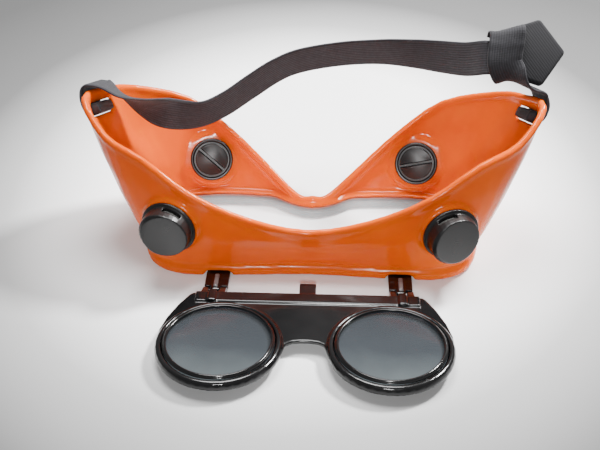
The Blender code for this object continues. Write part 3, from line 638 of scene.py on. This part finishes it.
KNOT_RIGHT = Vector((0.994, 0.106, 0.0))
KNOT_UP = Vector((-0.067, 0.631, 0.773))
KNOT_FACE = Vector((0.082, -0.768, 0.635))
KNOT_RADIUS = 0.0170
KNOT_START = -2.0          # turn of the first corner, degrees
PAD_BACK = -0.0028
PAD_DEPTH = 0.0050
PAD_BEVEL = 0.0016
PAD_LEAN = -57             # turn of the ribs on the pad, degrees


def knot_spot(right, up, face):
    """A place in the knot, measured along its own three directions."""
    low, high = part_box("strap_knot")
    return (low + high) / 2 + KNOT_RIGHT * right + KNOT_UP * up + KNOT_FACE * face


def knot_core(looks):
    """The under layers of the knot: a thick five-sided pad with diagonal ribs."""
    bm = bmesh.new()
    corners = [radians(KNOT_START + 72 * k) for k in range(5)]
    base = [bm.verts.new((KNOT_RADIUS * cos(a), KNOT_RADIUS * sin(a), PAD_BACK))
            for a in corners]
    floor_face = bm.faces.new(base)
    grown = bmesh.ops.extrude_face_region(bm, geom=[floor_face])["geom"]
    lifted = [item for item in grown if isinstance(item, bmesh.types.BMVert)]
    bmesh.ops.translate(bm, verts=lifted, vec=(0, 0, PAD_DEPTH))
    bmesh.ops.bevel(bm, geom=list(bm.edges), offset=PAD_BEVEL, segments=4, profile=0.5,
                    affect="EDGES", material=-1)
    uv = bm.loops.layers.uv.new("along")
    lean = radians(PAD_LEAN)
    for face in bm.faces:
        for loop in face.loops:
            x, y = loop.vert.co.x, loop.vert.co.y
            loop[uv].uv = (x * cos(lean) + y * sin(lean), -x * sin(lean) + y * cos(lean))
    for vert in bm.verts:
        vert.co = knot_spot(*vert.co)
    # Its elastic is the darkest copy, painted shade.
    return finished(bm, "knot_core", looks["elastic_knot"], "goggles", ["strap_knot"])


# ---------------------------------------------------------------- floor, light, camera
FLOOR_DROP = 0.0002


def set_stage(looks):
    """The floor, just under the lowest point."""
    bm = bmesh.new()
    bmesh.ops.create_grid(bm, x_segments=8, y_segments=8, size=FLOOR_SIZE / 2)
    bmesh.ops.translate(bm, verts=bm.verts, vec=(0, 0, cad_box[0][2] - FLOOR_DROP))
    mesh = bpy.data.meshes.new("floor")
    bm.to_mesh(mesh)
    bm.free()
    floor = bpy.data.objects.new("floor", mesh)
    bpy.context.scene.collection.objects.link(floor)
    mesh.materials.append(looks["floor"])


def soft_light(name, place, aim, size, power):
    """A round area lamp turned towards a point."""
    lamp = bpy.data.lights.new(name, "AREA")
    lamp.shape = "DISK"
    lamp.size = size
    lamp.energy = power
    item = bpy.data.objects.new(name, lamp)
    bpy.context.scene.collection.objects.link(item)
    item.location = place
    item.rotation_euler = (Vector(aim) - Vector(place)).to_track_quat("-Z", "Y").to_euler()


def light_room():
    """High key lamp at the right and behind, a lamp overhead, a small one in front."""
    soft_light("key", (0.45, 0.34, 0.70), (0, 0, 0), 0.16, 26.0)
    soft_light("overhead", (-0.05, 0.20, 0.95), (0, 0, 0), 0.50, 17.0)
    soft_light("front_fill", (0.02, -0.70, 0.42), (0, 0, 0.02), 0.08, 4.0)
    world = bpy.data.worlds.new("studio")
    bpy.context.scene.world = world
    world.use_nodes = True
    world.node_tree.nodes["Background"].inputs["Color"].default_value = (1, 1, 1, 1)
    world.node_tree.nodes["Background"].inputs["Strength"].default_value = 0.30


def aim_camera():
    """Look down on the goggles from the side of the flip frame."""
    azimuth, elevation, distance = radians(2.3), radians(34.0), 0.490
    target = Vector((-0.0050, 0.0128, 0.0200))
    back = Vector((sin(azimuth) * cos(elevation), -cos(azimuth) * cos(elevation), sin(elevation)))
    lens = bpy.data.cameras.new("camera")
    lens.lens = 60.0
    lens.sensor_width = 36.0
    lens.clip_start = 0.01
    camera = bpy.data.objects.new("camera", lens)
    bpy.context.scene.collection.objects.link(camera)
    camera.location = target + back * distance
    camera.rotation_euler = (-back).to_track_quat("-Z", "Y").to_euler()
    bpy.context.scene.camera = camera


LOOKS = {
    "vinyl": soft_vinyl(),
    "black": moulded_black(),
    "vent": vent_black(),
    "shade": filter_glass(),
    "cover": clear_sheet("cover_sheet", 0.012),
    "front": clear_sheet("front_sheet", 0.12),
    "rubber": dull_rubber(),
    "steel": pin_steel(),
    "foam": filter_foam(),
    # The knot's turn and its under layers are darker copies of the strap's elastic: painted shade.
    "elastic_strap_webbing": woven_elastic("woven_elastic", 0.95),
    "elastic_knot_turn": woven_elastic("knot_turn_painted_shade", 0.72),
    "elastic_knot": woven_elastic("knot_under_painted_deep_shade", 0.40),
    "rib": rib_painted_highlight(),
    "floor": floor_painted_light_pool(),
}
aim_camera()
dress_frame(LOOKS)
for lens_side, lens_sign in SIDES:
    retaining_lip(lens_side, LOOKS)
    hinge_rib(lens_side, LOOKS)
    for vent in VENTS:
        vent_plug(vent, lens_side, lens_sign, LOOKS)
strap_run("strap_webbing", EAR_TO_KNOT, ["strap_band"], LOOKS)
strap_run("knot_turn", KNOT_TO_EAR, ["strap_lead"], LOOKS)
knot_core(LOOKS)
set_stage(LOOKS)
light_room()
